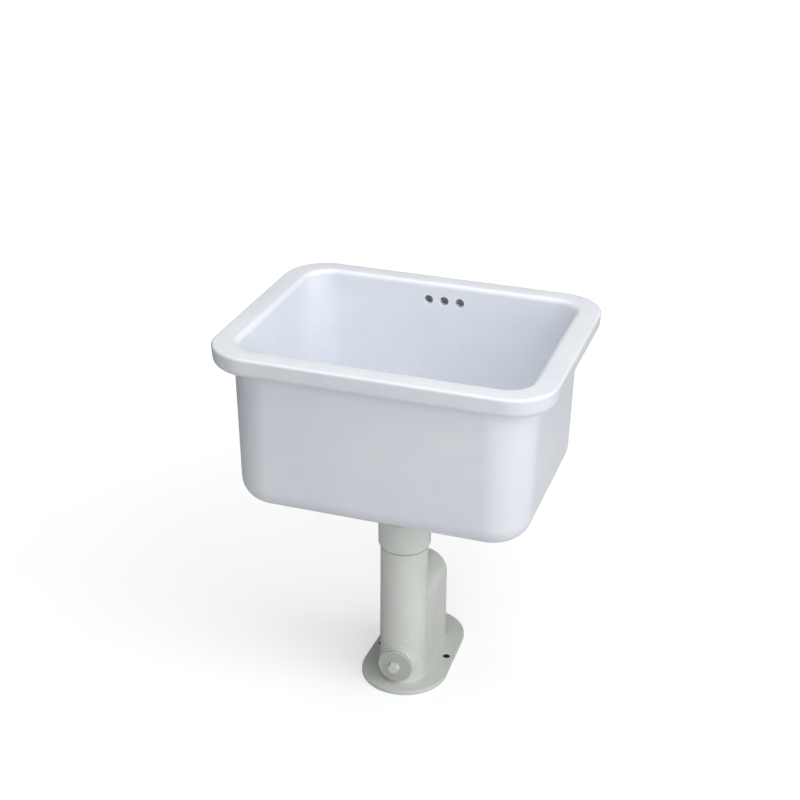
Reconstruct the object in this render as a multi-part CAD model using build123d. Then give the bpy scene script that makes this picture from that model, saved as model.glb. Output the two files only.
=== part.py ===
from build123d import *
import math
import os

# A vitreous china mop sink that stands on a cast iron floor trap.
# Millimetres. The origin is on the floor under the middle of the rim,
# +X is to the right, +Y is towards the wall and +Z is up.

# Basin, outside
RIM_WIDTH = 510.0
RIM_DEPTH = 400.0
RIM_HEIGHT = 31.0
RIM_TOP = 611.0
RIM_CORNER = 70.0
RIM_DRAFT = 2.8
RIM_TOP_ROUND = 4.5
RIM_UNDER_ROUND = 11.0
COVE_ROUND = 7.0
BODY_UNDER = 357.0
BODY_TOP_HALF = 228.0
BODY_TOP_FRONT = -182.0
BODY_TOP_BACK = 182.0
BODY_TOP_CORNERS = (70.0, 85.0)
BODY_LOW_HALF = 221.5
BODY_LOW_FRONT = -175.5
BODY_LOW_BACK = 176.0
BODY_LOW_CORNERS = (58.0, 72.0)
BODY_UNDER_ROUND = 36.0

# Basin, inside
BOWL_TOP_HALF = 217.0
BOWL_TOP_FRONT = -163.5
BOWL_TOP_BACK = 165.0
BOWL_TOP_CORNER = 37.0
BOWL_LOW_HALF = 208.0
BOWL_LOW_FRONT = -159.0
BOWL_LOW_BACK = 159.0
BOWL_LOW_CORNER = 42.0
BOWL_EDGE_ROUND = 8.5
BOWL_OPEN_ABOVE = 20.0
BOWL_FLOOR = 377.0
BOWL_FLOOR_ROUND = 34.0
FALLS_HALF = 170.0
FALLS_DEEP = 121.0
FALLS_CORNER = 20.0
FALLS_DEPTH = 6.0

# Drain axis, shared by everything below the bowl
DRAIN_Y = -21.0
DRAIN_HOLE_R = 34.0
DRAIN_RECESS_R = 46.0
DRAIN_RECESS_FLOOR = 362.0
BOSS_R = 62.0
BOSS_UNDER = 345.0

# Overflow: three holes, a flue down the back and a duct under the floor
OVERFLOW_HOLE_R = 6.8
OVERFLOW_LIP = 1.5
OVERFLOW_SPACING = 25.5
OVERFLOW_Z = 582.5
FLUE_HALF = 38.0
FLUE_FRONT = 174.0
FLUE_BACK = 188.0
FLUE_TOP = 594.0
FLUE_NARROWS = 530.0
FLUE_WALL = 8.0
FLUE_EDGE_ROUND = 7.0
FLUE_BEND = 30.0
FLUE_INNER_BEND = 16.0
CASING_INNER_BEND = 6.0
INTO_BODY = 8.0
FLUE_SIDE_ROUND = 30.0
DUCT_HALF = 18.0
DUCT_SIDE_TOP = 430.0
DUCT_LOW = 350.5
DUCT_HIGH = 359.5
DUCT_WALL = 5.5

# Waste fitting
SEAL_T = 1.5
WASTE_FLANGE_R = 44.5
WASTE_FLANGE_T = 7.0
WASTE_TAIL_R = 31.8
WASTE_BORE_R = 27.5
WASTE_TAIL_LOW = 336.0
GRATE_SEAT_R = 37.0
GRATE_R = 36.6
GRATE_T = 2.0
GRATE_HOLE_R = 2.8
GRATE_RINGS = ((11.0, 6), (18.5, 12), (26.0, 18))
KNOB_STEM_R = 2.5
KNOB_R = 7.0
KNOB_RISE = 11.0

# Tailpiece that carries the basin
LOWER_SEAL_T = 2.0
TAIL_FLANGE_R = 60.0
TAIL_FLANGE_T = 9.0
TAIL_NECK_R = 38.0
TAIL_NECK_LOW = 326.0
TAIL_CONE_LOW = 314.0
TAIL_R = 30.0
TAIL_BORE_R = 25.5
TAIL_LOW = 264.0

# Inlet collar
COLLAR_R = 41.2
COLLAR_TOP = 299.0
COLLAR_LOW = 248.2
COLLAR_FOOT_R = 38.8
COLLAR_TAPER_TOP = 253.0
COLLAR_PACKING_R = 37.0
COLLAR_PACKING_LOW = 277.0
COLLAR_BORE_R = 27.5
SPIGOT_R = 34.0
SPIGOT_LOW = 229.0
PACKING_TOP = 291.0

# Trap body
TUBE_R = 37.7
TUBE_TOP = 246.8
TUBE_LIP_R = 38.5
TUBE_LIP_H = 2.5
WALL = 5.7
HUMP_SPRING = 136.0
HUMP_BACK = 95.0
HUMP_END_ROUND = 6.0
FOOT_ROUND = 3.0
CREASE_ROUND = 3.0
DIP_Z = 66.0
WEIR_Z = 120.0
WEIR_FRONT = 36.5
WEIR_T = 5.0
CHAMBER_FLOOR = 12.0
DIP_BACK = 17.5

# Floor flange
FLANGE_T = 7.0
FLANGE_FRONT_Y = -12.5
FLANGE_FRONT_R = 70.0
FLANGE_REAR_Y = 92.0
FLANGE_REAR_R = 67.0
FLANGE_EDGE = 1.5
BOLT_X = 56.0
BOLT_Y = 36.0
BOLT_HOLE_R = 5.5
BOLT_HOLE_EDGE = 1.0
OUTLET_Y = 64.5
OUTLET_R = 23.0
OUTLET_TOP = 18.0
SEAT_RING_IN = 27.0
SEAT_RING_OUT = 36.0
SEAT_RING_T = 4.0

# Cleanout
CLEANOUT_Z = 42.0
CLEANOUT_FACE = -60.5
CLEANOUT_BOSS_R = 29.6
CLEANOUT_BOSS_EDGE = 1.2
CLEANOUT_FLARE_R = 35.6
CLEANOUT_FLARE_DEEP = 25.0
CLEANOUT_PAD_R = 36.0
CLEANOUT_PAD_RISE = 1.0
CLEANOUT_SEAT_R = 27.4
CLEANOUT_SEAT_DEPTH = 1.2
CLEANOUT_BORE_R = 24.0
CLEANOUT_SEAL_OUT = 27.2
CLEANOUT_SEAL_IN = 24.3
THREAD_CLEARANCE = 0.06
PLUG_DISC_R = 28.0
PLUG_DISC_T = 4.7
PLUG_THREAD_LENGTH = 11.0
PLUG_CUP_R = 18.0
PLUG_CUP_DEPTH = 8.0
HEX_FLATS = 16.0
HEX_LENGTH = 9.0


def upright(radius, low, high):
    """Round post on the drain axis between two heights."""
    post = Cylinder(radius, high - low, align=(Align.CENTER, Align.CENTER, Align.MIN))
    return Pos(0, DRAIN_Y, low) * post


def ring(outer, inner, low, high):
    """Round ring on the drain axis."""
    return upright(outer, low, high) - upright(inner, low - 1, high + 1)


def turned(profile):
    """Solid turned about the drain axis from (radius, height) points."""
    section = make_face(Polyline([(r, z) for r, z in profile], close=True))
    upright_section = Plane(origin=(0, DRAIN_Y, 0), x_dir=(1, 0, 0), z_dir=(0, -1, 0)) * section
    return revolve(upright_section, Axis((0, DRAIN_Y, 0), (0, 0, 1)))


def forward(radius, back, front):
    """Round post along Y on the cleanout axis, from back to front."""
    post = Cylinder(radius, back - front, align=(Align.CENTER, Align.CENTER, Align.MIN))
    return Plane(origin=(0, back, CLEANOUT_Z), x_dir=(1, 0, 0), z_dir=(0, -1, 0)) * post


def block(half_width, front, back, low, high):
    """Box that is centred on X."""
    shape = Box(2 * half_width, back - front, high - low)
    return Pos(0, (front + back) / 2, (low + high) / 2) * shape


def plan(half_width, front, back, corners, height):
    """Face with one radius at the front corners and one at the back ones."""
    face = Pos(0, (front + back) / 2) * Rectangle(2 * half_width, back - front)
    face = fillet(face.vertices().sort_by(Axis.Y)[:2], corners[0])
    face = fillet(face.vertices().sort_by(Axis.Y)[-2:], corners[1])
    return Pos(0, 0, height) * face


def drafted(top_plan, low_plan):
    """Straight-sided solid between two plans."""
    return loft([low_plan.face(), top_plan.face()], ruled=True)


def edges_at(shape, height, inside):
    """Edges that lie at one height within a half width and half depth."""
    found = []
    for edge in shape.edges():
        box = edge.bounding_box()
        level = abs(box.min.Z - height) < 0.01 and abs(box.max.Z - height) < 0.01
        near = max(abs(box.min.X), abs(box.max.X)) < inside[0]
        deep = max(abs(box.min.Y), abs(box.max.Y)) < inside[1]
        if level and near and deep:
            found.append(edge)
    return found


def basin_outside():
    """Rim with an upright back for the wall, on a deep drafted body."""
    rim_low = RIM_TOP - RIM_HEIGHT
    corner_angle = math.pi / 2 - math.atan2(RIM_DRAFT, RIM_HEIGHT)
    lost_in_round = RIM_TOP_ROUND / math.tan(corner_angle / 2) - RIM_TOP_ROUND
    half_w = RIM_WIDTH / 2 + lost_in_round
    front = -RIM_DEPTH / 2 - lost_in_round
    back = RIM_DEPTH / 2
    low_corner = RIM_CORNER - RIM_DRAFT
    top = plan(half_w, front, back, (RIM_CORNER, RIM_CORNER), RIM_TOP)
    low = plan(half_w - RIM_DRAFT, front + RIM_DRAFT, back, (low_corner, low_corner), rim_low)
    rim = drafted(top, low)
    rim = fillet(edges_at(rim, RIM_TOP, (half_w + 1, back + 1)), RIM_TOP_ROUND)
    rim = fillet(edges_at(rim, rim_low, (half_w + 1, back + 1)), RIM_UNDER_ROUND)
    body_top = plan(BODY_TOP_HALF, BODY_TOP_FRONT, BODY_TOP_BACK, BODY_TOP_CORNERS, rim_low + 6)
    body_low = plan(BODY_LOW_HALF, BODY_LOW_FRONT, BODY_LOW_BACK, BODY_LOW_CORNERS, BODY_UNDER)
    body = drafted(body_top, body_low)
    body = fillet(edges_at(body, BODY_UNDER, (BODY_TOP_HALF, BODY_TOP_BACK)), BODY_UNDER_ROUND)
    shell = rim + body
    return fillet(edges_at(shell, rim_low, (BODY_TOP_HALF + 1, BODY_TOP_BACK + 1)), COVE_ROUND)


def bent_slab(front, back, low, high, top, bends, half):
    """Slab that runs down the back and turns forward to the drain."""
    outer, inner = bends
    heel = CenterArc((back - outer, low + outer), outer, -90, 90)
    throat = CenterArc((front - inner, high + inner), inner, 0, -90)
    under = Polyline((DRAIN_Y, high), (DRAIN_Y, low), (back - outer, low))
    rise = Polyline((back, low + outer), (back, top), (front, top), (front, high + inner))
    close = Line((front - inner, high), (DRAIN_Y, high))
    side = Plane(origin=(-half, 0, 0), x_dir=(0, 1, 0), z_dir=(1, 0, 0))
    return extrude(side * make_face(under + heel + rise + throat + close), 2 * half)


def tapering_slab(wide, slim):
    """Slab seen from the back, wide at the holes and slim under the floor."""
    top = RIM_TOP
    low = DUCT_LOW - 2 * DUCT_WALL
    points = [(-slim, low), (-slim, DUCT_SIDE_TOP), (-wide, FLUE_NARROWS), (-wide, top),
              (wide, top), (wide, FLUE_NARROWS), (slim, DUCT_SIDE_TOP), (slim, low)]
    face = make_face(Polyline(points, close=True))
    turns = [v for v in face.vertices() if DUCT_SIDE_TOP - 1 < v.Y < FLUE_NARROWS + 1]
    face = fillet(turns, FLUE_SIDE_ROUND)
    upright_plane = Plane(origin=(0, DRAIN_Y - 1, 0), x_dir=(1, 0, 0), z_dir=(0, -1, 0))
    return extrude(upright_plane * face, -RIM_DEPTH)


def overflow_casing():
    """Clay that encloses the flue and the duct."""
    back = FLUE_BACK + FLUE_WALL
    low = DUCT_LOW - DUCT_WALL
    bends = (FLUE_BEND + FLUE_WALL, CASING_INNER_BEND)
    casing = bent_slab(BOWL_LOW_BACK + INTO_BODY, back, low, BODY_UNDER + INTO_BODY,
                       RIM_TOP - RIM_HEIGHT + INTO_BODY, bends, FLUE_HALF + 2 * FLUE_WALL)
    casing = casing & tapering_slab(FLUE_HALF + FLUE_WALL, DUCT_HALF + FLUE_WALL)
    edges = []
    for edge in casing.edges():
        box = edge.bounding_box()
        on_back = box.min.Y > back - 0.1
        on_under = box.max.Z < low + 0.1
        on_heel = edge.geom_type == GeomType.CIRCLE and box.max.Y > back - 1 and box.min.Z < low + 1
        if abs(edge.center().X) > DUCT_HALF and (on_back or on_under or on_heel):
            edges.append(edge)
    return fillet(edges, FLUE_EDGE_ROUND)


def overflow_way():
    """The empty flue and duct."""
    way = bent_slab(FLUE_FRONT, FLUE_BACK, DUCT_LOW, DUCT_HIGH, FLUE_TOP,
                    (FLUE_BEND, FLUE_INNER_BEND), FLUE_HALF + FLUE_WALL)
    return way & tapering_slab(FLUE_HALF, DUCT_HALF)


def overflow_holes():
    """Three round holes through the bowl's back wall."""
    holes = []
    flue_middle = (FLUE_FRONT + FLUE_BACK) / 2
    length = flue_middle - BOWL_LOW_BACK + 1
    for step in (-1, 0, 1):
        hole = Cylinder(OVERFLOW_HOLE_R, length, align=(Align.CENTER, Align.CENTER, Align.MIN))
        place = Plane(origin=(step * OVERFLOW_SPACING, flue_middle, OVERFLOW_Z),
                      x_dir=(1, 0, 0), z_dir=(0, -1, 0))
        holes.append(place * hole)
    return holes


def bowl_space():
    """The space that the water fills, down to a floor with four falls."""
    slope = (BOWL_TOP_HALF - BOWL_LOW_HALF) / (RIM_TOP - BOWL_FLOOR)
    top = plan(BOWL_TOP_HALF + slope * BOWL_OPEN_ABOVE, BOWL_TOP_FRONT, BOWL_TOP_BACK,
               (BOWL_TOP_CORNER, BOWL_TOP_CORNER), RIM_TOP + BOWL_OPEN_ABOVE)
    low = plan(BOWL_LOW_HALF, BOWL_LOW_FRONT, BOWL_LOW_BACK,
               (BOWL_LOW_CORNER, BOWL_LOW_CORNER), BOWL_FLOOR)
    space = drafted(top, low)
    space = fillet(edges_at(space, BOWL_FLOOR, (BOWL_TOP_HALF, BOWL_TOP_BACK)), BOWL_FLOOR_ROUND)
    falls_top = plan(FALLS_HALF, -FALLS_DEEP, FALLS_DEEP, (FALLS_CORNER, FALLS_CORNER), BOWL_FLOOR)
    near = DRAIN_RECESS_R - 0.5
    falls_low = plan(near, DRAIN_Y - near, DRAIN_Y + near, (near - 0.2, near - 0.2),
                     BOWL_FLOOR - FALLS_DEPTH)
    return space + drafted(falls_top, falls_low)


def make_basin():
    china = basin_outside() + overflow_casing() + upright(BOSS_R, BOSS_UNDER, BODY_UNDER + INTO_BODY)
    china = china - bowl_space()
    rim_edges = edges_at(china, RIM_TOP, (BOWL_TOP_HALF + 10, BOWL_TOP_BACK + 10))
    china = fillet(rim_edges, BOWL_EDGE_ROUND)
    china = china - overflow_way()
    for hole in overflow_holes():
        china = china - hole
    lips = [e for e in china.edges() if overflow_lip(e)]
    china = fillet(lips, OVERFLOW_LIP)
    recess = upright(DRAIN_RECESS_R, DRAIN_RECESS_FLOOR, BOWL_FLOOR - FALLS_DEPTH + 0.5)
    return china - recess - upright(DRAIN_HOLE_R, BOSS_UNDER - 1, BOWL_FLOOR)


def overflow_lip(edge):
    """True for a hole's edge on the bowl side of the back wall."""
    box = edge.bounding_box()
    small = max(box.size.X, box.size.Z) < 2 * OVERFLOW_HOLE_R + 1 and box.size.X > OVERFLOW_HOLE_R
    return small and box.max.Y < FLUE_FRONT - 1 and abs(box.center().Z - OVERFLOW_Z) < 1


def make_waste_body():
    seat = DRAIN_RECESS_FLOOR + SEAL_T
    top = seat + WASTE_FLANGE_T
    body = turned([(WASTE_BORE_R, WASTE_TAIL_LOW), (WASTE_TAIL_R - 1, WASTE_TAIL_LOW),
                   (WASTE_TAIL_R, WASTE_TAIL_LOW + 1), (WASTE_TAIL_R, seat),
                   (WASTE_FLANGE_R, seat), (WASTE_FLANGE_R, top - 1.5),
                   (WASTE_FLANGE_R - 1.5, top), (GRATE_SEAT_R + 1, top - 0.6),
                   (GRATE_SEAT_R, top - 1.6), (GRATE_SEAT_R, top - 3.5),
                   (WASTE_BORE_R, top - 3.5)])
    middle = (DUCT_LOW + DUCT_HIGH) / 2
    for turn in (90, 210, 330):
        slot = Rotation(0, 0, turn) * Pos(WASTE_TAIL_R - 2, 0, middle) * Box(12.0, 14.0, 8.0)
        body = body - Pos(0, DRAIN_Y, 0) * slot
    return body


def make_waste_seal():
    low = DRAIN_RECESS_FLOOR
    return ring(WASTE_FLANGE_R - 1.5, DRAIN_HOLE_R, low, low + SEAL_T)


def grate_low():
    return DRAIN_RECESS_FLOOR + SEAL_T + WASTE_FLANGE_T - 3.5


def make_strainer_grate():
    low = grate_low()
    grate = upright(GRATE_R, low, low + GRATE_T)
    grate = fillet(edges_at(grate, low + GRATE_T, (GRATE_R + 1, 100)), 0.8)
    grate = grate - upright(KNOB_STEM_R, low - 1, low + GRATE_T + 1)
    for radius, count in GRATE_RINGS:
        for i in range(count):
            hole = Rotation(0, 0, 360.0 * i / count) * Pos(radius, 0, low + 1) * Cylinder(GRATE_HOLE_R, 6.0)
            grate = grate - Pos(0, DRAIN_Y, 0) * hole
    return grate


def make_strainer_knob():
    low = grate_low()
    top = low + GRATE_T
    return turned([(0, low - 2), (KNOB_STEM_R + 1.5, low - 2), (KNOB_STEM_R + 1.5, low),
                   (KNOB_STEM_R, low), (KNOB_STEM_R, top), (KNOB_STEM_R + 1.2, top),
                   (KNOB_STEM_R, top + 3), (KNOB_R - 1.5, top + KNOB_RISE - 5),
                   (KNOB_R, top + KNOB_RISE - 3.5), (KNOB_R - 1, top + KNOB_RISE - 1),
                   (KNOB_R - 3.5, top + KNOB_RISE), (0, top + KNOB_RISE)])


def make_lower_seal():
    return ring(TAIL_FLANGE_R - 3, DRAIN_HOLE_R, BOSS_UNDER - LOWER_SEAL_T, BOSS_UNDER)


def make_tailpiece():
    top = BOSS_UNDER - LOWER_SEAL_T
    thread_low = WASTE_TAIL_LOW - 1
    return turned([(TAIL_BORE_R, TAIL_LOW), (TAIL_R, TAIL_LOW), (TAIL_R, TAIL_CONE_LOW),
                   (TAIL_NECK_R, TAIL_NECK_LOW), (TAIL_NECK_R, top - TAIL_FLANGE_T - 2),
                   (TAIL_NECK_R + 2, top - TAIL_FLANGE_T), (TAIL_FLANGE_R - 1.5, top - TAIL_FLANGE_T),
                   (TAIL_FLANGE_R, top - TAIL_FLANGE_T + 1.5), (TAIL_FLANGE_R, top - 1.5),
                   (TAIL_FLANGE_R - 1.5, top), (WASTE_TAIL_R, top), (WASTE_TAIL_R, thread_low),
                   (TAIL_BORE_R, thread_low)])


def make_packing_ring():
    return turned([(TAIL_R, COLLAR_PACKING_LOW), (COLLAR_PACKING_R, COLLAR_PACKING_LOW),
                   (COLLAR_PACKING_R, PACKING_TOP - 2), (COLLAR_PACKING_R - 2, PACKING_TOP),
                   (TAIL_R + 1.5, PACKING_TOP), (TAIL_R, PACKING_TOP - 1.5)])


def make_inlet_collar():
    return turned([(COLLAR_BORE_R, SPIGOT_LOW), (SPIGOT_R - 1, SPIGOT_LOW),
                   (SPIGOT_R, SPIGOT_LOW + 1), (SPIGOT_R, COLLAR_LOW),
                   (COLLAR_FOOT_R, COLLAR_LOW), (COLLAR_R, COLLAR_TAPER_TOP),
                   (COLLAR_R, COLLAR_TOP - 1.2), (COLLAR_R - 1.2, COLLAR_TOP),
                   (COLLAR_PACKING_R + 1, COLLAR_TOP), (COLLAR_PACKING_R, COLLAR_TOP - 1),
                   (COLLAR_PACKING_R, COLLAR_PACKING_LOW), (TAIL_R, COLLAR_PACKING_LOW),
                   (TAIL_R, TAIL_LOW), (COLLAR_BORE_R, TAIL_LOW)])


def make_collar_seal():
    return ring(TUBE_R - 0.5, SPIGOT_R, TUBE_TOP, COLLAR_LOW)


def trap_outside():
    tube = upright(TUBE_R, 0, TUBE_TOP)
    arch = Pos(0, HUMP_SPRING / 2) * Rectangle(2 * TUBE_R, HUMP_SPRING)
    arch = arch + Pos(0, HUMP_SPRING) * Circle(TUBE_R)
    rear_plane = Plane(origin=(0, DRAIN_Y, 0), x_dir=(1, 0, 0), z_dir=(0, -1, 0))
    hump = extrude(rear_plane * arch, -(HUMP_BACK - DRAIN_Y))
    rear_edges = [e for e in hump.edges() if e.center().Z > 1 and e.bounding_box().min.Y > HUMP_BACK - 1]
    hump = fillet(rear_edges, HUMP_END_ROUND)
    body = tube + hump
    body = fillet(body.edges().filter_by(GeomType.ELLIPSE), CREASE_ROUND)
    body = body + trap_flange()
    body = fillet(foot_edges(body), FOOT_ROUND) + cleanout_boss()
    lip = turned([(TUBE_R - 2, TUBE_TOP - TUBE_LIP_H - 1), (TUBE_R, TUBE_TOP - TUBE_LIP_H),
                  (TUBE_LIP_R, TUBE_TOP - 0.8), (TUBE_LIP_R, TUBE_TOP), (TUBE_R - 2, TUBE_TOP)])
    return body + lip


def cleanout_boss():
    """Round boss that flares into the sides of the tube, on a thin raised pad."""
    mouth = CLEANOUT_BOSS_R
    edge = CLEANOUT_BOSS_EDGE
    deep = CLEANOUT_FLARE_DEEP
    half_r = mouth + 0.3 * (CLEANOUT_FLARE_R - mouth)
    round_off = CenterArc((mouth - edge, edge), edge, -90, 90)
    flare = ThreePointArc((mouth, edge), (half_r, 0.6 * deep), (CLEANOUT_FLARE_R, deep))
    rest = Polyline((CLEANOUT_FLARE_R, deep), (0, deep), (0, 0), (mouth - edge, 0))
    section = Plane(origin=(0, CLEANOUT_FACE, CLEANOUT_Z), x_dir=(1, 0, 0), z_dir=(0, 0, 1))
    bell = revolve(section * make_face(round_off + flare + rest), Axis((0, 0, CLEANOUT_Z), (0, 1, 0)))
    pad = forward(CLEANOUT_PAD_R, DRAIN_Y, CLEANOUT_FACE) & upright(TUBE_R + CLEANOUT_PAD_RISE, 0, TUBE_TOP)
    pad_edge = pad.edges().filter_by(GeomType.BSPLINE)
    pad = fillet(pad_edge, CLEANOUT_PAD_RISE * 0.8)
    return pad + bell - upright(TUBE_R - WALL, 0, TUBE_TOP)


def trap_flange():
    outline = Pos(0, FLANGE_FRONT_Y) * Circle(FLANGE_FRONT_R) + Pos(0, FLANGE_REAR_Y) * Circle(FLANGE_REAR_R)
    plate = extrude(make_hull(outline.edges()), FLANGE_T)
    return fillet(edges_at(plate, FLANGE_T, (100, 200)), FLANGE_EDGE)


def foot_edges(body):
    """The line where the trap meets the top of its flange."""
    return edges_at(body, FLANGE_T, (TUBE_R + 1, HUMP_BACK + 1))


def trap_water_way():
    """Inlet leg, dip, rising leg, weir and outlet leg as one empty space."""
    inner = TUBE_R - WALL
    inlet = upright(inner, CHAMBER_FLOOR, TUBE_TOP + 1)
    thread = upright(SPIGOT_R, SPIGOT_LOW - 1, TUBE_TOP + 1)
    dip = block(inner, DRAIN_Y, WEIR_FRONT, CHAMBER_FLOOR, DIP_Z)
    rising = block(inner, DIP_BACK, WEIR_FRONT, CHAMBER_FLOOR, HUMP_SPRING)
    outlet_front = WEIR_FRONT + WEIR_T
    outlet_back = HUMP_BACK - WALL
    outlet = block(inner, outlet_front, outlet_back, OUTLET_TOP, HUMP_SPRING)
    over = block(inner, DIP_BACK, outlet_back, WEIR_Z, HUMP_SPRING)
    crown_plane = Plane(origin=(0, DIP_BACK, HUMP_SPRING), x_dir=(1, 0, 0), z_dir=(0, 1, 0))
    crown = crown_plane * Cylinder(inner, outlet_back - DIP_BACK,
                                   align=(Align.CENTER, Align.CENTER, Align.MIN))
    drop = Pos(0, OUTLET_Y, -1) * Cylinder(OUTLET_R, OUTLET_TOP + 1.5,
                                           align=(Align.CENTER, Align.CENTER, Align.MIN))
    cleanout = forward(CLEANOUT_BORE_R, DRAIN_Y - 15, CLEANOUT_FACE - 1)
    seat = forward(CLEANOUT_SEAT_R, CLEANOUT_FACE + CLEANOUT_SEAT_DEPTH, CLEANOUT_FACE - 1)
    return inlet, thread, dip, rising, outlet, over, crown, drop, cleanout, seat


def make_trap_body():
    body = trap_outside()
    for space in trap_water_way():
        body = body - space
    for side in (-1, 1):
        hole = Pos(side * BOLT_X, BOLT_Y, -1) * Cylinder(BOLT_HOLE_R, FLANGE_T + 2,
                                                         align=(Align.CENTER, Align.CENTER, Align.MIN))
        sink = Pos(side * BOLT_X, BOLT_Y, FLANGE_T - BOLT_HOLE_EDGE) * Cone(
            BOLT_HOLE_R, BOLT_HOLE_R + BOLT_HOLE_EDGE, BOLT_HOLE_EDGE,
            align=(Align.CENTER, Align.CENTER, Align.MIN))
        body = body - hole - sink
    return body - outlet_ring(SEAT_RING_OUT, SEAT_RING_IN, -1, SEAT_RING_T)


def outlet_ring(outer, inner, low, high):
    flat = Pos(0, OUTLET_Y) * (Circle(outer) - Circle(inner))
    return Pos(0, 0, low) * extrude(flat, high - low)


def make_outlet_seal():
    return outlet_ring(SEAT_RING_OUT, SEAT_RING_IN, 0, SEAT_RING_T)


def make_cleanout_seal():
    back = CLEANOUT_FACE + CLEANOUT_SEAT_DEPTH
    front = back - SEAL_T
    return forward(CLEANOUT_SEAL_OUT, back, front) - forward(CLEANOUT_SEAL_IN, back + 1, front - 1)


def make_cleanout_plug():
    back = CLEANOUT_FACE + CLEANOUT_SEAT_DEPTH - SEAL_T
    face = back - PLUG_DISC_T
    disc = forward(PLUG_DISC_R, back, face)
    disc = chamfer(disc.edges().filter_by(GeomType.CIRCLE).sort_by(Axis.Y)[:1], 0.9)
    hex_plane = Plane(origin=(0, face, CLEANOUT_Z), x_dir=(1, 0, 0), z_dir=(0, -1, 0))
    corner_r = HEX_FLATS / math.sqrt(3)
    nut = extrude(hex_plane * RegularPolygon(corner_r, 6), HEX_LENGTH)
    nut = chamfer(nut.faces().sort_by(Axis.Y)[0].edges(), 0.8)
    thread_r = CLEANOUT_BORE_R - THREAD_CLEARANCE
    thread_end = back + PLUG_THREAD_LENGTH + SEAL_T
    thread = forward(thread_r, thread_end, back)
    cup = forward(PLUG_CUP_R, thread_end + 1, thread_end - PLUG_CUP_DEPTH)
    return disc + nut + (thread - cup)


PIECES = {
    "basin": make_basin,
    "waste_body": make_waste_body,
    "waste_seal": make_waste_seal,
    "strainer_grate": make_strainer_grate,
    "strainer_knob": make_strainer_knob,
    "lower_seal": make_lower_seal,
    "tailpiece": make_tailpiece,
    "packing_ring": make_packing_ring,
    "inlet_collar": make_inlet_collar,
    "collar_seal": make_collar_seal,
    "trap_body": make_trap_body,
    "outlet_seal": make_outlet_seal,
    "cleanout_seal": make_cleanout_seal,
    "cleanout_plug": make_cleanout_plug,
}


def write_pieces():
    os.makedirs("parts", exist_ok=True)
    for name, make in PIECES.items():
        piece = make()
        export_step(piece, "parts/" + name + ".step")
        print(name, len(piece.solids()), round(piece.volume / 1000.0, 1), "cm3")


write_pieces()
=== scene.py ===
import bpy
import bmesh
from math import copysign, pi, radians, tan
from mathutils import Matrix, Vector


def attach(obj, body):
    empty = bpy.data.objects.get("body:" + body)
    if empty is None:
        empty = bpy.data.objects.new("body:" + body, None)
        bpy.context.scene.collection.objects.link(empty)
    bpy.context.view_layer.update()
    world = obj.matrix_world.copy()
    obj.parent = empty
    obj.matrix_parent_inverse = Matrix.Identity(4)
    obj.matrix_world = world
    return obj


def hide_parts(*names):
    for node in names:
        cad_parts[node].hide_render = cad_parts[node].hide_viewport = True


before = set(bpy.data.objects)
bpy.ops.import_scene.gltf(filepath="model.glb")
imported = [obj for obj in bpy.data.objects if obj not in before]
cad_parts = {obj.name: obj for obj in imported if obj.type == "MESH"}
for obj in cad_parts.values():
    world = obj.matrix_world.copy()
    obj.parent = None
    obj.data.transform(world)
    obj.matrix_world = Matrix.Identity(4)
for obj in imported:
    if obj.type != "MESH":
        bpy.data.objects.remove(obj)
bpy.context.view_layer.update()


# The floor trap is one grey iron casting: the inlet tube, the hump over the
# weir and the floor flange. It is sand cast, then sprayed with pale grey
# enamel. A flat rubber ring under the flange seals it round the floor outlet.
MM = 0.001
ENAMEL = ("#DEE1DA", "#E2E5DF")
ENAMEL_IN_PITS = "#D3D6CF"
ENAMEL_IOR = 1.5
ENAMEL_ROUGHNESS = (0.14, 0.20)
ENAMEL_CLOUD_MM = 45.0
MOULD_LUMP_MM = 26.0
MOULD_LUMP_DEPTH_MM = 0.06
SAND_GRAIN_MM = 2.6
SAND_GRAIN_DEPTH_MM = 0.02
SAND_PITS = (0.28, 0.36)
NOISE_SPAN = (0.35, 0.65)
BOLT_STEP_MM = 112.0
BOLT_Y_MM = 36.0
# Painted shade down the bolt holes: a dark iron grey out to this radius from each bolt axis.
BOLT_HOLE_SHADE = "#454644"
BOLT_HOLE_SHADE_R_MM = 5.7
RUBBER = ("#272928", "#3A3D3C")
RUBBER_IOR = 1.52
RUBBER_ROUGHNESS = (0.62, 0.80)
RUBBER_BLOOM_MM = 7.0
RUBBER_GRAIN_MM = 0.8
RUBBER_GRAIN_DEPTH_MM = 0.04
WELD_MM = 0.01
REAL_EDGE_ANGLE = 32.0
FLAT_FACE_WEIGHT = 100


def linear(hex_colour):
    """Linear colour from an sRGB hex value."""
    parts = [int(hex_colour[i:i + 2], 16) / 255 for i in (1, 3, 5)]
    return tuple(p / 12.92 if p <= 0.04045 else ((p + 0.055) / 1.055) ** 2.4 for p in parts) + (1.0,)


def add(tree, kind, settings, links):
    """Adds a node with its attributes, its unlinked sockets and its links."""
    node = tree.nodes.new(kind)
    for key, value in settings.items():
        if isinstance(key, int) or key in node.inputs:
            node.inputs[key].default_value = value
        else:
            setattr(node, key, value)
    for key, source in links.items():
        tree.links.new(source, node.inputs[key])
    return node


def new_material(name, settings):
    """Principled material, with its node tree, its shader and its Object coordinates."""
    made = bpy.data.materials.new(name)
    made.use_nodes = True
    tree = made.node_tree
    tree.nodes.clear()
    shader = add(tree, "ShaderNodeBsdfPrincipled", settings, {})
    add(tree, "ShaderNodeOutputMaterial", {}, {"Surface": shader.outputs["BSDF"]})
    place = add(tree, "ShaderNodeTexCoord", {}, {}).outputs["Object"]
    return made, tree, shader, place


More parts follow.
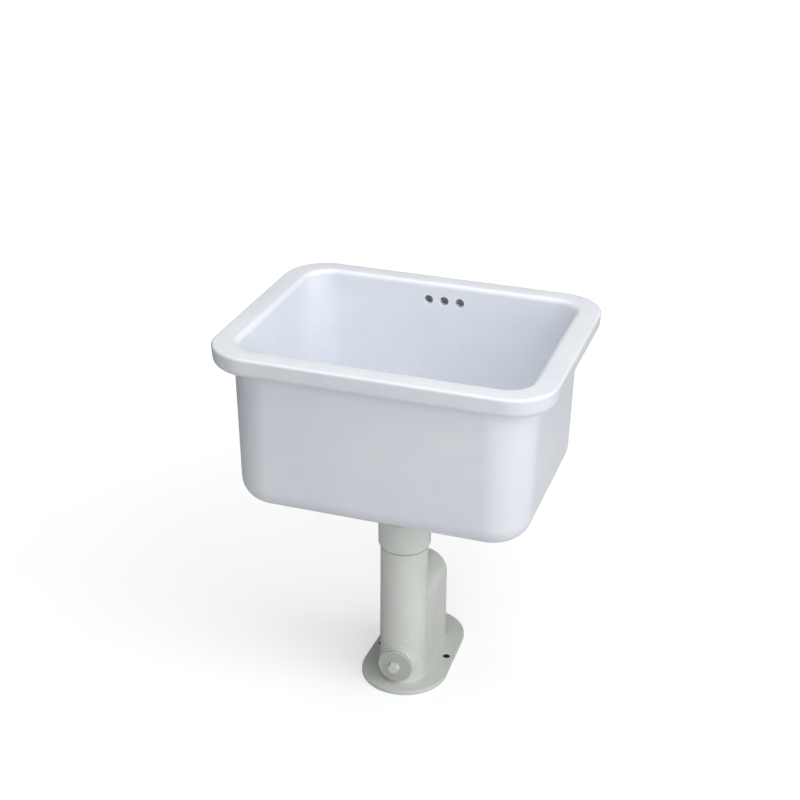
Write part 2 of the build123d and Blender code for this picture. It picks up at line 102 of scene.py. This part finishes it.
def from_bolts(tree, place):
    """Distance in metres from the axis of the nearer floor bolt."""
    level = add(tree, "ShaderNodeVectorMath", {"operation": "MULTIPLY", 1: (1, 1, 0)}, {0: place})
    right, left = [add(tree, "ShaderNodeVectorMath",
                       {"operation": "DISTANCE", 1: (side * BOLT_STEP_MM / 2 * MM, BOLT_Y_MM * MM, 0.0)},
                       {0: level.outputs[0]}) for side in (1, -1)]
    return add(tree, "ShaderNodeMath", {"operation": "MINIMUM"},
               {0: right.outputs["Value"], 1: left.outputs["Value"]}).outputs[0]


def enamelled_iron(name):
    """Sprayed enamel on sand cast iron: the eye gets a pale grey coat with a soft
    gloss, slow lumps from the mould, a fine sandy peel and slightly greyer pits.
    Inside the bolt holes a dark iron grey is painted, as painted shade down the holes."""
    made, tree, shader, place = new_material(name, {"IOR": ENAMEL_IOR})
    cloud = add(tree, "ShaderNodeTexNoise", {"Scale": 1 / (ENAMEL_CLOUD_MM * MM), "Detail": 3.0},
                {"Vector": place}).outputs["Fac"]
    lumps = add(tree, "ShaderNodeTexNoise", {"Scale": 1 / (MOULD_LUMP_MM * MM), "Detail": 1.0},
                {"Vector": place}).outputs["Fac"]
    sand = add(tree, "ShaderNodeTexNoise", {"Scale": 1 / (SAND_GRAIN_MM * MM), "Detail": 3.0},
               {"Vector": place}).outputs["Fac"]
    shade = add(tree, "ShaderNodeMapRange", {"From Min": NOISE_SPAN[0], "From Max": NOISE_SPAN[1]},
                {"Value": cloud})
    coat = add(tree, "ShaderNodeMix", {"data_type": "RGBA", 6: linear(ENAMEL[0]), 7: linear(ENAMEL[1])},
               {0: shade.outputs["Result"]})
    clean = add(tree, "ShaderNodeMapRange", {"From Min": SAND_PITS[0], "From Max": SAND_PITS[1]},
                {"Value": sand})
    pitted = add(tree, "ShaderNodeMix", {"data_type": "RGBA", 6: linear(ENAMEL_IN_PITS)},
                 {0: clean.outputs["Result"], 7: coat.outputs[2]})
    # Painted shade: the colour turns dark iron grey inside the bolt holes.
    outside_hole_shade = add(tree, "ShaderNodeMath", {"operation": "GREATER_THAN", 1: BOLT_HOLE_SHADE_R_MM * MM},
                  {0: from_bolts(tree, place)})
    surface = add(tree, "ShaderNodeMix", {"data_type": "RGBA", 6: linear(BOLT_HOLE_SHADE)},
                  {0: outside_hole_shade.outputs[0], 7: pitted.outputs[2]})
    tree.links.new(surface.outputs[2], shader.inputs["Base Color"])
    gloss = add(tree, "ShaderNodeMapRange",
                {"From Min": NOISE_SPAN[0], "From Max": NOISE_SPAN[1],
                 "To Min": ENAMEL_ROUGHNESS[0], "To Max": ENAMEL_ROUGHNESS[1]}, {"Value": lumps})
    tree.links.new(gloss.outputs["Result"], shader.inputs["Roughness"])
    slow = add(tree, "ShaderNodeBump", {"Strength": 1.0, "Distance": MOULD_LUMP_DEPTH_MM * MM},
               {"Height": lumps})
    fine = add(tree, "ShaderNodeBump", {"Strength": 1.0, "Distance": SAND_GRAIN_DEPTH_MM * MM},
               {"Height": sand, "Normal": slow.outputs["Normal"]})
    tree.links.new(fine.outputs["Normal"], shader.inputs["Normal"])
    return made, tree, shader, place


def epdm_rubber():
    """Moulded black EPDM: the eye gets a matt black with a greyer bloom in patches."""
    made, tree, shader, place = new_material("epdm_rubber", {"IOR": RUBBER_IOR})
    bloom = add(tree, "ShaderNodeTexNoise", {"Scale": 1 / (RUBBER_BLOOM_MM * MM), "Detail": 3.0},
                {"Vector": place}).outputs["Fac"]
    grain = add(tree, "ShaderNodeTexNoise", {"Scale": 1 / (RUBBER_GRAIN_MM * MM), "Detail": 2.0},
                {"Vector": place}).outputs["Fac"]
    shade = add(tree, "ShaderNodeMapRange", {"From Min": NOISE_SPAN[0], "From Max": NOISE_SPAN[1]},
                {"Value": bloom})
    colour = add(tree, "ShaderNodeMix", {"data_type": "RGBA", 6: linear(RUBBER[0]), 7: linear(RUBBER[1])},
                 {0: shade.outputs["Result"]})
    tree.links.new(colour.outputs[2], shader.inputs["Base Color"])
    gloss = add(tree, "ShaderNodeMapRange",
                {"From Min": NOISE_SPAN[0], "From Max": NOISE_SPAN[1],
                 "To Min": RUBBER_ROUGHNESS[0], "To Max": RUBBER_ROUGHNESS[1]}, {"Value": bloom})
    tree.links.new(gloss.outputs["Result"], shader.inputs["Roughness"])
    skin = add(tree, "ShaderNodeBump", {"Strength": 1.0, "Distance": RUBBER_GRAIN_DEPTH_MM * MM},
               {"Height": grain})
    tree.links.new(skin.outputs["Normal"], shader.inputs["Normal"])
    return made


def even_normals(part):
    """Shades flats flat and rounds round, by weighting normals with face area."""
    evened = part.modifiers.new("even_normals", "WEIGHTED_NORMAL")
    evened.mode = "FACE_AREA"
    evened.weight = FLAT_FACE_WEIGHT
    evened.keep_sharp = True


def dress(node, material):
    """Puts a material on a CAD node and shades it smooth between its real edges."""
    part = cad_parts[node]
    part.data.materials.clear()
    part.data.materials.append(material)
    part.data.shade_smooth()
    welded = part.modifiers.new("welded", "WELD")
    welded.merge_threshold = WELD_MM * MM
    edged = part.modifiers.new("real_edges", "EDGE_SPLIT")
    edged.split_angle = radians(REAL_EDGE_ANGLE)
    even_normals(part)


iron = enamelled_iron("enamelled_cast_iron")[0]
rubber = epdm_rubber()
dress("trap_body", iron)
dress("outlet_seal", rubber)


# The cleanout plug is cast iron with a hexagon, painted with the trap, and
# screws into the boss low on the front. A flat rubber ring lies under its head.
PLUG_FACE_Y_MM = -65.8
PLUG_FACE_GREY = "#E2E3E0"


def plug_enamel():
    """The trap's enamel, with the plug's face behind the hexagon made a little greyer
    than the hexagon itself."""
    made, tree, shader, place = enamelled_iron("enamelled_plug")
    enamel = shader.inputs["Base Color"].links[0].from_socket
    depth = add(tree, "ShaderNodeSeparateXYZ", {}, {0: place}).outputs["Y"]
    # The face behind the hexagon is multiplied by a grey, so it is darker than the hexagon.
    behind_hexagon = add(tree, "ShaderNodeMath", {"operation": "GREATER_THAN", 1: PLUG_FACE_Y_MM * MM},
                 {0: depth})
    face = add(tree, "ShaderNodeMix",
               {"data_type": "RGBA", "blend_type": "MULTIPLY", 7: linear(PLUG_FACE_GREY)},
               {0: behind_hexagon.outputs[0], 6: enamel})
    tree.links.new(face.outputs[2], shader.inputs["Base Color"])
    return made


dress("cleanout_plug", plug_enamel())
dress("cleanout_seal", rubber)


# The inlet collar is a turned and painted iron casting. Its spigot screws into
# the top of the tube on a thin ring, and a packing in its mouth grips the tailpiece.
dress("inlet_collar", iron)
dress("collar_seal", rubber)
dress("packing_ring", rubber)


# The tailpiece is painted cast iron too. Its flange carries the basin on a
# rubber ring, and its tube stands in the collar, so the height can be set.
dress("tailpiece", iron)
dress("lower_seal", rubber)


# The basin is one slip-cast shell of vitreous china, glazed white and fired.
# A wide rim with soft edges stands out from a deep body whose walls draw in
# a little downwards. Its sizes are in millimetres until the mesh is finished.
RIM_TOP = 611.0
RIM_LOW = 580.0
RIM_CROWN = 0.5
RIM_HALF = 255.0
RIM_FRONT = -200.0
RIM_BACK = 200.0
RIM_DRAFT = 2.8
RIM_CORNER = 70.0
RIM_CROWN_CORNER = 54.0
RIM_TOP_ROUND = 4.5
RIM_UNDER_ROUND = 11.0
COVE_ROUND = 5.0
BODY_HIGH = (228.0, -182.0, 182.0, (70.0, 85.0))
BODY_UNDER = 357.0
BODY_LOW = (221.5, -175.5, 176.0, (58.0, 72.0))
BODY_UNDER_ROUND = 36.0
BOWL_HIGH = (217.0, -163.5, 165.0, (37.0, 37.0))
BOWL_LOW = (208.0, -159.0, 159.0, (42.0, 42.0))
BOWL_EDGE_ROUND = 8.5
BOWL_FLOOR = 377.0
BOWL_FLOOR_ROUND = 34.0
FALLS = (170.0, -121.0, 121.0, (20.0, 20.0))
FALLS_LOW = 371.0
FALLS_END_ROUND = 1.5
DRAIN_Y = -21.0
DRAIN_HOLE_R = 34.0
RECESS_R = 46.0
RECESS_FLOOR = 362.0
BOSS_R = 62.0
BOSS_UNDER = 345.0
BOSS_EDGE_ROUND = 2.0
BOSS_FOOT_ROUND = 6.0
CIRCLE_STRAIGHT = 0.05
MERGE = 0.002
CORNER_STEPS = 18
SMALL_STEPS = 4
EDGE_STEPS = 8
LARGE_STEPS = 14


def plan(bm, outline, height):
    """Loop of edges: a rectangle with one radius at the front and one at the back."""
    half, front, back, corners = outline
    grid = bmesh.ops.create_grid(bm, x_segments=1, y_segments=1, size=1.0)["verts"]
    for vert in grid:
        vert.co = Vector((half * vert.co.x, front if vert.co.y < 0 else back, height))
    face = grid[0].link_faces[0]
    middle = (front + back) / 2
    for side, radius in zip((-1, 1), corners):
        pair = [v for v in face.verts if (v.co.y - middle) * side > 0]
        made = bmesh.ops.bevel(bm, geom=pair, affect="VERTICES", offset=radius, offset_type="OFFSET",
                               profile=0.5, segments=CORNER_STEPS, material=-1)
        face = max((f for v in made["verts"] for f in v.link_faces), key=lambda f: f.calc_area())
    loop = list(face.edges)
    bmesh.ops.delete(bm, geom=[face], context="FACES_ONLY")
    return loop


def drain_circle(radius):
    """The same outline drawn as a circle on the drain axis, with as many points and
    only slivers of straight edge left."""
    corner = radius - CIRCLE_STRAIGHT
    return radius, DRAIN_Y - radius, DRAIN_Y + radius, (corner, corner)


def rounded(bm, edges, radius, steps):
    """Rounds a crease to a real radius."""
    angles = [edge.calc_face_angle() for edge in edges]
    width = radius * tan(sum(angles) / len(angles) / 2)
    bmesh.ops.bevel(bm, geom=edges, affect="EDGES", offset=width, offset_type="OFFSET", profile=0.5,
                    segments=steps, material=-1, loop_slide=False, clamp_overlap=False)


def basin_shell():
    """The whole china surface: up the outside from the boss, over the rim, down the
    bowl and back through the drain hole. The rim leans out upwards, so the round of
    its top edge takes a little off its width, which is added first."""
    bm = bmesh.new()
    lost = RIM_DRAFT * RIM_TOP_ROUND / (RIM_TOP - RIM_LOW)
    rim_corners = (RIM_CORNER, RIM_CORNER)
    low_corners = (RIM_CORNER - RIM_DRAFT, RIM_CORNER - RIM_DRAFT)
    rim_outer = (RIM_HALF + lost, RIM_FRONT - lost, RIM_BACK, rim_corners)
    rim_low = (rim_outer[0] - RIM_DRAFT, rim_outer[1] + RIM_DRAFT, RIM_BACK, low_corners)
    crown = tuple((a + b) / 2 for a, b in zip(rim_outer[:3], BOWL_HIGH[:3]))
    loops = {
        "hole_low": plan(bm, drain_circle(DRAIN_HOLE_R), BOSS_UNDER),
        "boss_low": plan(bm, drain_circle(BOSS_R), BOSS_UNDER),
        "boss_high": plan(bm, drain_circle(BOSS_R), BODY_UNDER),
        "body_low": plan(bm, BODY_LOW, BODY_UNDER),
        "body_high": plan(bm, BODY_HIGH, RIM_LOW),
        "rim_low": plan(bm, rim_low, RIM_LOW),
        "rim_outer": plan(bm, rim_outer, RIM_TOP - RIM_CROWN),
        "rim_crown": plan(bm, crown + ((RIM_CROWN_CORNER, RIM_CROWN_CORNER),), RIM_TOP),
        "bowl_edge": plan(bm, BOWL_HIGH, RIM_TOP - RIM_CROWN),
        "bowl_floor": plan(bm, BOWL_LOW, BOWL_FLOOR),
        "falls_high": plan(bm, FALLS, BOWL_FLOOR),
        "falls_low": plan(bm, drain_circle(RECESS_R), FALLS_LOW),
        "recess_low": plan(bm, drain_circle(RECESS_R), RECESS_FLOOR),
        "hole_high": plan(bm, drain_circle(DRAIN_HOLE_R), RECESS_FLOOR),
    }
    walls = list(loops.values())
    for lower, upper in zip(walls, walls[1:] + walls[:1]):
        bmesh.ops.bridge_loops(bm, edges=lower + upper)
    bmesh.ops.recalc_face_normals(bm, faces=bm.faces)
    rounded(bm, loops["boss_low"], BOSS_EDGE_ROUND, SMALL_STEPS)
    rounded(bm, loops["boss_high"], BOSS_FOOT_ROUND, SMALL_STEPS)
    rounded(bm, loops["body_low"], BODY_UNDER_ROUND, LARGE_STEPS)
    rounded(bm, loops["body_high"], COVE_ROUND, EDGE_STEPS)
    rounded(bm, loops["rim_low"], RIM_UNDER_ROUND, EDGE_STEPS)
    rounded(bm, loops["rim_outer"], RIM_TOP_ROUND, EDGE_STEPS)
    rounded(bm, loops["bowl_edge"], BOWL_EDGE_ROUND, EDGE_STEPS)
    rounded(bm, loops["bowl_floor"], BOWL_FLOOR_ROUND, LARGE_STEPS)
    rounded(bm, loops["falls_low"], FALLS_END_ROUND, SMALL_STEPS)
    return bm


def in_metres(bm, name):
    """Object in metres from a mesh in millimetres, with its faces outwards."""
    bmesh.ops.remove_doubles(bm, verts=bm.verts, dist=MERGE)
    bmesh.ops.recalc_face_normals(bm, faces=bm.faces)
    bmesh.ops.scale(bm, verts=bm.verts, vec=(MM, MM, MM))
    mesh = bpy.data.meshes.new(name)
    bm.to_mesh(mesh)
    bm.free()
    made = bpy.data.objects.new(name, mesh)
    bpy.context.collection.objects.link(made)
    return made


basin = in_metres(basin_shell(), "basin_china")


# The overflow is cast in one piece with the basin. Three holes in the back wall
# open into a flue, which a casing on the back of the body encloses. It runs
# down, narrows, and turns forward under the floor to the drain.
HOLE_R = 6.8
HOLE_LIP = 1.5
HOLE_STEP = 25.5
HOLE_Z = 582.5
HOLE_SIDES = 48
CUTTER_PAST = 1.0
FLUE_FRONT = 174.0
FLUE_BACK = 188.0
FLUE_TOP = 594.0
FLUE_BENDS = (30.0, 16.0)
FLUE_HALVES = (38.0, 18.0)
DUCT_END = 0.0
DUCT_LOW = 350.5
DUCT_HIGH = 359.5
CASING_END = 29.0
CASING_FRONT = 167.0
CASING_BACK = 196.0
CASING_TOP = 588.0
CASING_HIGH = 365.0
CASING_BENDS = (38.0, 6.0)
CASING_HALVES = (46.0, 26.0)
CASING_EDGE_ROUND = 7.0
NARROW_BELOW = 430.0
WIDE_ABOVE = 530.0
SIDE_TURN_ROUND = 30.0
SIDEWAYS = 0.7
BACKWARDS = 0.1
DOWNWARDS = -0.5


def bent_slab(ends, heights, bends, halves):
    """Slab that runs down the back and turns forward, wide above and slim below.
    It starts 2 mm wide, and then each point moves out to its half width."""
    end, front, back = ends
    low, high, top = heights
    bm = bmesh.new()
    corners = [(end, low), (back, low), (back, top), (front, top), (front, high), (end, high)]
    verts = [bm.verts.new((-1, y, z)) for y, z in corners]
    bm.faces.new(verts)
    for vert, radius in zip((verts[1], verts[4]), bends):
        bmesh.ops.bevel(bm, geom=[vert], affect="VERTICES", offset=radius, offset_type="OFFSET",
                        profile=0.5, segments=EDGE_STEPS, material=-1)
    grown = bmesh.ops.extrude_face_region(bm, geom=bm.faces[:])["geom"]
    bmesh.ops.translate(bm, verts=[g for g in grown if isinstance(g, bmesh.types.BMVert)], vec=(2, 0, 0))
    turns = [middle + offset for middle in (NARROW_BELOW, WIDE_ABOVE)
             for offset in (-SIDE_TURN_ROUND / 2, 0.0, SIDE_TURN_ROUND / 2)]
    for height in turns:
        bmesh.ops.bisect_plane(bm, geom=bm.verts[:] + bm.edges[:] + bm.faces[:],
                               plane_co=(0, 0, height), plane_no=(0, 0, 1))
    wide, slim = halves
    for vert in bm.verts:
        rise = min(max((vert.co.z - NARROW_BELOW) / (WIDE_ABOVE - NARROW_BELOW), 0.0), 1.0)
        eased = rise * rise * (3 - 2 * rise)
        vert.co.x = copysign(slim + (wide - slim) * eased, vert.co.x)
    bmesh.ops.recalc_face_normals(bm, faces=bm.faces)
    return bm


def overflow_casing():
    """The outside of the flue, with its edges rounded at the back and below."""
    bm = bent_slab((CASING_END, CASING_FRONT, CASING_BACK), (BOSS_UNDER, CASING_HIGH, CASING_TOP),
                   CASING_BENDS, CASING_HALVES)
    outer = []
    for edge in bm.edges:
        sides = [f for f in edge.link_faces if abs(f.normal.x) > SIDEWAYS]
        backs = [f for f in edge.link_faces if f.normal.y > BACKWARDS or f.normal.z < DOWNWARDS]
        if len(sides) == 1 and len(backs) == 1:
            outer.append(edge)
    rounded(bm, outer, CASING_EDGE_ROUND, EDGE_STEPS)
    return bm


def overflow_hole(x):
    """Turned cutter, square to the leaning wall, with a lip that flares to the bowl."""
    lean = (BOWL_HIGH[2] - BOWL_LOW[2]) / (RIM_TOP - BOWL_FLOOR)
    wall = BOWL_LOW[2] + lean * (HOLE_Z - BOWL_FLOOR)
    bm = bmesh.new()
    lip = bm.verts.new((HOLE_R + HOLE_LIP, 0, 0))
    bmesh.ops.spin(bm, geom=[lip], cent=(HOLE_R + HOLE_LIP, HOLE_LIP, 0), axis=(0, 0, -1), angle=pi / 2,
                   steps=SMALL_STEPS, use_merge=False)
    bm.verts.ensure_lookup_table()
    bore = min(bm.verts, key=lambda v: v.co.x)
    outside = bm.verts.new((HOLE_R + HOLE_LIP, -CUTTER_PAST, 0))
    inside = bm.verts.new((HOLE_R, (FLUE_FRONT + FLUE_BACK) / 2 - wall, 0))
    bm.edges.new((outside, lip))
    bm.edges.new((bore, inside))
    bmesh.ops.spin(bm, geom=bm.verts[:] + bm.edges[:], cent=(0, 0, 0), axis=(0, 1, 0), angle=2 * pi,
                   steps=HOLE_SIDES, use_merge=True)
    bmesh.ops.holes_fill(bm, edges=[e for e in bm.edges if e.is_boundary], sides=0)
    bmesh.ops.rotate(bm, verts=bm.verts, cent=(0, 0, 0), matrix=Matrix.Rotation(-lean, 3, "X"))
    bmesh.ops.translate(bm, verts=bm.verts, vec=(x, wall, HOLE_Z))
    return bm


def built_in(body, steps):
    """Joins or cuts each solid into the body's mesh for good, and removes the solids."""
    for tool, operation in steps:
        step = body.modifiers.new(tool.name, "BOOLEAN")
        step.object = tool
        step.operation = operation
        step.solver = "EXACT"
    graph = bpy.context.evaluated_depsgraph_get()
    finished = bpy.data.meshes.new_from_object(body.evaluated_get(graph))
    body.modifiers.clear()
    body.data = finished
    for tool, operation in steps:
        bpy.data.objects.remove(tool)


flue = bent_slab((DUCT_END, FLUE_FRONT, FLUE_BACK), (DUCT_LOW, DUCT_HIGH, FLUE_TOP),
                 FLUE_BENDS, FLUE_HALVES)
clay = [(in_metres(overflow_casing(), "casing"), "UNION"), (in_metres(flue, "flue"), "DIFFERENCE")]
for column in (-1, 0, 1):
    clay.append((in_metres(overflow_hole(column * HOLE_STEP), "hole"), "DIFFERENCE"))
built_in(basin, clay)


# The glaze is sprayed over the whole casting before it is fired, and melts to
# a glassy skin all over it, the flue's casing and the back of the rim as well.
GLAZE = ("#E8ECF4", "#EDF1F7")
GLAZE_IOR = 1.5
GLAZE_ROUGHNESS = (0.29, 0.33)
GLAZE_POOL_MM = 110.0
GLAZE_PEEL_MM = 6.0
GLAZE_PEEL_DEPTH_MM = 0.025
GLAZE_SPECK_MM = 1.6
GLAZE_SPECK = "#D3D7DD"
GLAZE_SPECKS = (0.78, 0.82)
CHINA_EDGE_ANGLE = 40.0


def china_glaze():
    """Vitreous china under a white glaze: the eye gets a cool white with a soft
    gloss, the faint orange peel of a sprayed glaze, slow pools and rare fine specks."""
    made, tree, shader, place = new_material("vitreous_china_glaze", {"IOR": GLAZE_IOR})
    pools = add(tree, "ShaderNodeTexNoise", {"Scale": 1 / (GLAZE_POOL_MM * MM), "Detail": 2.0},
                {"Vector": place}).outputs["Fac"]
    peel = add(tree, "ShaderNodeTexNoise", {"Scale": 1 / (GLAZE_PEEL_MM * MM), "Detail": 2.0},
               {"Vector": place}).outputs["Fac"]
    specks = add(tree, "ShaderNodeTexNoise", {"Scale": 1 / (GLAZE_SPECK_MM * MM), "Detail": 0.0},
                 {"Vector": place}).outputs["Fac"]
    shade = add(tree, "ShaderNodeMapRange", {"From Min": NOISE_SPAN[0], "From Max": NOISE_SPAN[1]},
                {"Value": pools})
    body = add(tree, "ShaderNodeMix", {"data_type": "RGBA", 6: linear(GLAZE[0]), 7: linear(GLAZE[1])},
               {0: shade.outputs["Result"]})
    speck = add(tree, "ShaderNodeMapRange", {"From Min": GLAZE_SPECKS[0], "From Max": GLAZE_SPECKS[1]},
                {"Value": specks})
    fired = add(tree, "ShaderNodeMix", {"data_type": "RGBA", 7: linear(GLAZE_SPECK)},
                {0: speck.outputs["Result"], 6: body.outputs[2]})
    tree.links.new(fired.outputs[2], shader.inputs["Base Color"])
    gloss = add(tree, "ShaderNodeMapRange",
                {"From Min": NOISE_SPAN[0], "From Max": NOISE_SPAN[1],
                 "To Min": GLAZE_ROUGHNESS[0], "To Max": GLAZE_ROUGHNESS[1]}, {"Value": pools})
    tree.links.new(gloss.outputs["Result"], shader.inputs["Roughness"])
    skin = add(tree, "ShaderNodeBump", {"Strength": 1.0, "Distance": GLAZE_PEEL_DEPTH_MM * MM},
               {"Height": peel})
    tree.links.new(skin.outputs["Normal"], shader.inputs["Normal"])
    return made


basin.data.shade_smooth()
basin.data.set_sharp_from_angle(angle=radians(CHINA_EDGE_ANGLE))
even_normals(basin)
basin.data.materials.clear()
basin.data.materials.append(china_glaze())
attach(basin, "root")
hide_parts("basin")


# The waste is turned from brass and plated. Its flange lies in the recess on a
# rubber ring, and its tail passes through the china and screws into the tailpiece.
PLATING = ("#C9CAC6", "#D6D7D4")
PLATING_ROUGHNESS = (0.12, 0.26)
PLATING_CLOUD_MM = 14.0
TURNED_RING_MM = 1.0
TURNED_RING_DEPTH_MM = 0.006
WAVE_PERIOD = 2 * pi / 20  # from ring to ring at a scale of 1


def plated_brass():
    """Nickel and chromium on turned brass: the eye gets a cool bright metal with
    rings from the lathe, a little duller in patches from scouring. Real rings are
    finer, and these are drawn wider so that they show."""
    made, tree, shader, place = new_material("plated_brass", {"Metallic": 1.0})
    centred = add(tree, "ShaderNodeMapping", {"Location": (0.0, -DRAIN_Y * MM, 0.0)}, {"Vector": place})
    rings = add(tree, "ShaderNodeTexWave",
                {"wave_type": "RINGS", "rings_direction": "Z", "Distortion": 0.0,
                 "Scale": WAVE_PERIOD / (TURNED_RING_MM * MM)},
                {"Vector": centred.outputs["Vector"]}).outputs["Fac"]
    cloud = add(tree, "ShaderNodeTexNoise", {"Scale": 1 / (PLATING_CLOUD_MM * MM), "Detail": 3.0},
                {"Vector": place}).outputs["Fac"]
    shade = add(tree, "ShaderNodeMapRange", {"From Min": NOISE_SPAN[0], "From Max": NOISE_SPAN[1]},
                {"Value": cloud})
    metal = add(tree, "ShaderNodeMix",
                {"data_type": "RGBA", 6: linear(PLATING[0]), 7: linear(PLATING[1])},
                {0: shade.outputs["Result"]})
    tree.links.new(metal.outputs[2], shader.inputs["Base Color"])
    gloss = add(tree, "ShaderNodeMapRange",
                {"From Min": NOISE_SPAN[0], "From Max": NOISE_SPAN[1],
                 "To Min": PLATING_ROUGHNESS[0], "To Max": PLATING_ROUGHNESS[1]}, {"Value": cloud})
    tree.links.new(gloss.outputs["Result"], shader.inputs["Roughness"])
    turned = add(tree, "ShaderNodeBump", {"Strength": 1.0, "Distance": TURNED_RING_DEPTH_MM * MM},
                 {"Height": rings})
    tree.links.new(turned.outputs["Normal"], shader.inputs["Normal"])
    return made


brass = plated_brass()
dress("waste_body", brass)
dress("waste_seal", rubber)


# The strainer lies loose in the waste: a drilled brass grate with a small knob
# riveted through its middle, to lift it out by. Both are plated with the waste.
dress("strainer_grate", brass)
dress("strainer_knob", brass)


# The sink stands on a pale floor in a white room. The floor glows to the camera,
# more further away, so that it looks white, but not down in the two bolt holes,
# where its colour is painted dark as painted shade. Its own sizes are in metres,
# apart from those that say MM.
WHITE = (1.0, 1.0, 1.0, 1.0)
FLOOR_HALF = 9.0
FLOOR = "#DCDDDE"
FLOOR_ROUGHNESS = 0.8
GLOW_NEAR = 0.52
GLOW_FAR = 1.0
GLOW_NEAR_R = 0.5
GLOW_FAR_R = 2.0
# Painted shade in the floor's bolt holes: a dark colour out to this radius from each bolt axis.
FLOOR_HOLE_SHADE_R_MM = 8.5
FLOOR_HOLE_SHADE = "#34342F"


def pale_floor():
    """Matt pale floor: the eye gets white with the sink's own soft shadow, and painted shade down in the
    bolt holes.
    """
    made, tree, shader, place = new_material("pale_floor", {"Roughness": FLOOR_ROUGHNESS,
                                                            "Specular IOR Level": 0.0,
                                                            "Emission Color": WHITE})
    path = add(tree, "ShaderNodeLightPath", {}, {})
    clear = add(tree, "ShaderNodeMath", {"operation": "GREATER_THAN", 1: FLOOR_HOLE_SHADE_R_MM * MM},
                {0: from_bolts(tree, place)})
    open_floor = add(tree, "ShaderNodeMath", {"operation": "MULTIPLY"},
                     {0: path.outputs["Is Camera Ray"], 1: clear.outputs[0]})
    # Painted shade: the floor's colour turns dark down in the bolt holes.
    surface = add(tree, "ShaderNodeMix",
                  {"data_type": "RGBA", 6: linear(FLOOR_HOLE_SHADE), 7: linear(FLOOR)},
                  {0: clear.outputs[0]})
    tree.links.new(surface.outputs[2], shader.inputs["Base Color"])
    reach = add(tree, "ShaderNodeVectorMath", {"operation": "LENGTH"}, {0: place})
    level = add(tree, "ShaderNodeMapRange",
                {"From Min": GLOW_NEAR_R, "From Max": GLOW_FAR_R, "To Min": GLOW_NEAR, "To Max": GLOW_FAR,
                 "interpolation_type": "SMOOTHSTEP"}, {"Value": reach.outputs["Value"]})
    glow = add(tree, "ShaderNodeMath", {"operation": "MULTIPLY"},
               {0: open_floor.outputs[0], 1: level.outputs["Result"]})
    tree.links.new(glow.outputs[0], shader.inputs["Emission Strength"])
    return made


floor_mesh = bmesh.new()
bmesh.ops.create_grid(floor_mesh, x_segments=1, y_segments=1, size=FLOOR_HALF / MM)
floor = in_metres(floor_mesh, "floor")
floor.data.materials.append(pale_floor())


# Three large soft boxes light the sink: one over it, one at the front and one on
# the right. Each has its place, its side in metres, its power in watts and its
# colour. The room adds a faint fill, and looks white to the camera.
ROOM = (0.92, 0.95, 1.0, 1.0)
ROOM_FILL = 0.07
SOFT_BOXES = {
    "top_box": ((0.0, -0.07, 2.32), 1.9, 27.0, (1.0, 0.985, 0.95)),
    "front_box": ((0.83, -2.28, 1.82), 2.3, 31.5, (1.0, 1.0, 1.0)),
    "right_box": ((2.50, -0.44, 1.60), 2.3, 39.0, (1.0, 1.0, 1.0)),
}
SOFT_BOX_TARGET = Vector((0.0, 0.0, 0.42))


def white_room():
    """Faint cool light from all round, with a white backdrop for the camera alone."""
    world = bpy.data.worlds.new("white_room")
    world.use_nodes = True
    tree = world.node_tree
    tree.nodes.clear()
    light = add(tree, "ShaderNodeBackground", {"Color": ROOM, "Strength": ROOM_FILL}, {})
    backdrop = add(tree, "ShaderNodeBackground", {"Color": WHITE, "Strength": 1.0}, {})
    path = add(tree, "ShaderNodeLightPath", {}, {})
    mix = add(tree, "ShaderNodeMixShader", {}, {0: path.outputs["Is Camera Ray"],
                                                1: light.outputs[0], 2: backdrop.outputs[0]})
    add(tree, "ShaderNodeOutputWorld", {}, {"Surface": mix.outputs[0]})
    bpy.context.scene.world = world


def soft_box(name, place, side, power, colour):
    """Square lamp that faces the middle of the sink."""
    lamp = bpy.data.lights.new(name, "AREA")
    lamp.shape = "SQUARE"
    lamp.size = side
    lamp.energy = power
    lamp.color = colour
    made = bpy.data.objects.new(name, lamp)
    made.location = place
    made.rotation_euler = (SOFT_BOX_TARGET - Vector(place)).to_track_quat("-Z", "Y").to_euler()
    bpy.context.collection.objects.link(made)


white_room()
for box_name, box in SOFT_BOXES.items():
    soft_box(box_name, *box)


# The camera stands a little to the right of the front and looks down at the rim.
# Its place and its lens were fitted as one set. The lens and the sensor are in
# millimetres, and the rest is in metres and degrees.
CAMERA_YAW = radians(18.468)
CAMERA_ELEVATION = radians(26.191)
CAMERA_ROLL = radians(0.4904)
CAMERA_DISTANCE = 2.203455
CAMERA_AIM = Vector((0.0, 0.0, 0.611))
CAMERA_SLIDE = Vector((-0.016676, -0.1118, 0.0))
CAMERA_LENS = 67.5075
CAMERA_SENSOR = 36.0

turn = (Matrix.Rotation(CAMERA_YAW, 4, "Z") @ Matrix.Rotation(pi / 2 - CAMERA_ELEVATION, 4, "X")
        @ Matrix.Rotation(CAMERA_ROLL, 4, "Z"))
camera_data = bpy.data.cameras.new("camera")
camera_data.lens = CAMERA_LENS
camera_data.sensor_width = CAMERA_SENSOR
camera = bpy.data.objects.new("camera", camera_data)
bpy.context.collection.objects.link(camera)
camera.matrix_world = (Matrix.Translation(CAMERA_AIM) @ turn
                       @ Matrix.Translation(CAMERA_SLIDE + Vector((0, 0, CAMERA_DISTANCE))))
bpy.context.scene.camera = camera
bpy.context.scene.view_settings.view_transform = "Standard"
